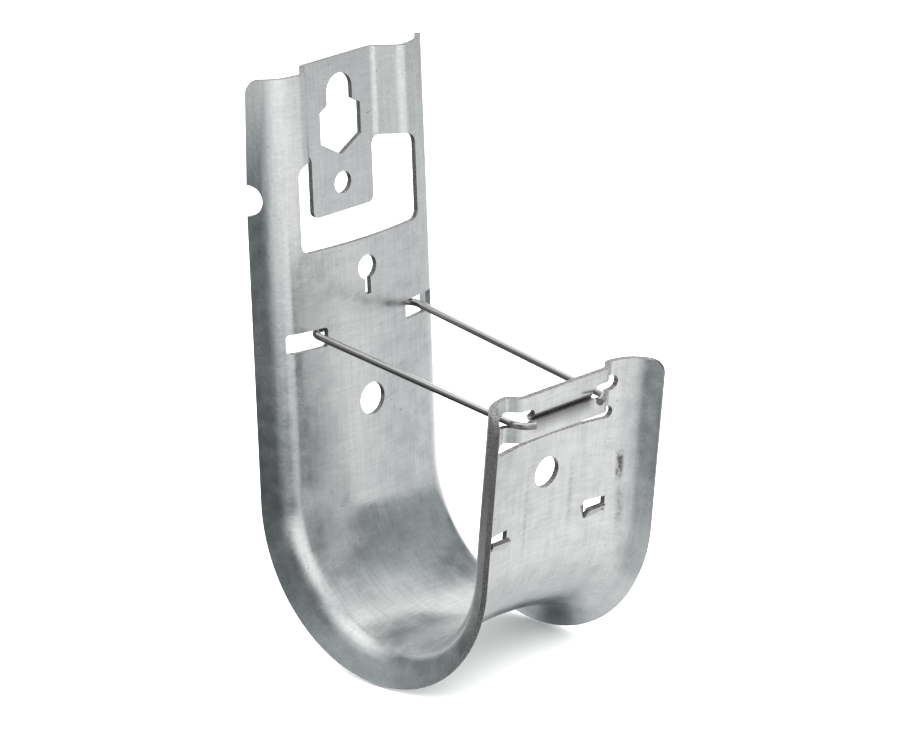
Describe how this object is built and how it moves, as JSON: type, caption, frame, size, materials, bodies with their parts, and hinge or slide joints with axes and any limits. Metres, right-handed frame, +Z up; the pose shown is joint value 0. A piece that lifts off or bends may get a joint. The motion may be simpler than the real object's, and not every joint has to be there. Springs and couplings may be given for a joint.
{
  "type": "cable j-hook",
  "caption": "Formed sheet-steel J-shaped cable support with a raised fixing tab, curled side flanges and a wire retainer across its mouth.",
  "frame": {"origin": "centre of the screw hole, on the wall side of the fixing tab", "axes": "+Z up the back plate, +Y toward the wall, +X along the width of the strap"},
  "size_m": [0.0514, 0.0723, 0.1274],
  "materials": {
    "galvanised_sheet": "satin",
    "spring_wire": "satin"
  },
  "bodies": {
    "hook": {"hook_body": "galvanised_sheet"},
    "retainer": {"retainer_wire": "spring_wire"}
  },
  "joints": [
    {"name": "retainer_swing", "type": "hinge", "parent": "hook", "child": "retainer", "pos_m": [0, -0.00468, -0.02911], "axis": [-1, 0, 0], "range_deg": [0, 1.6]}
  ]
}
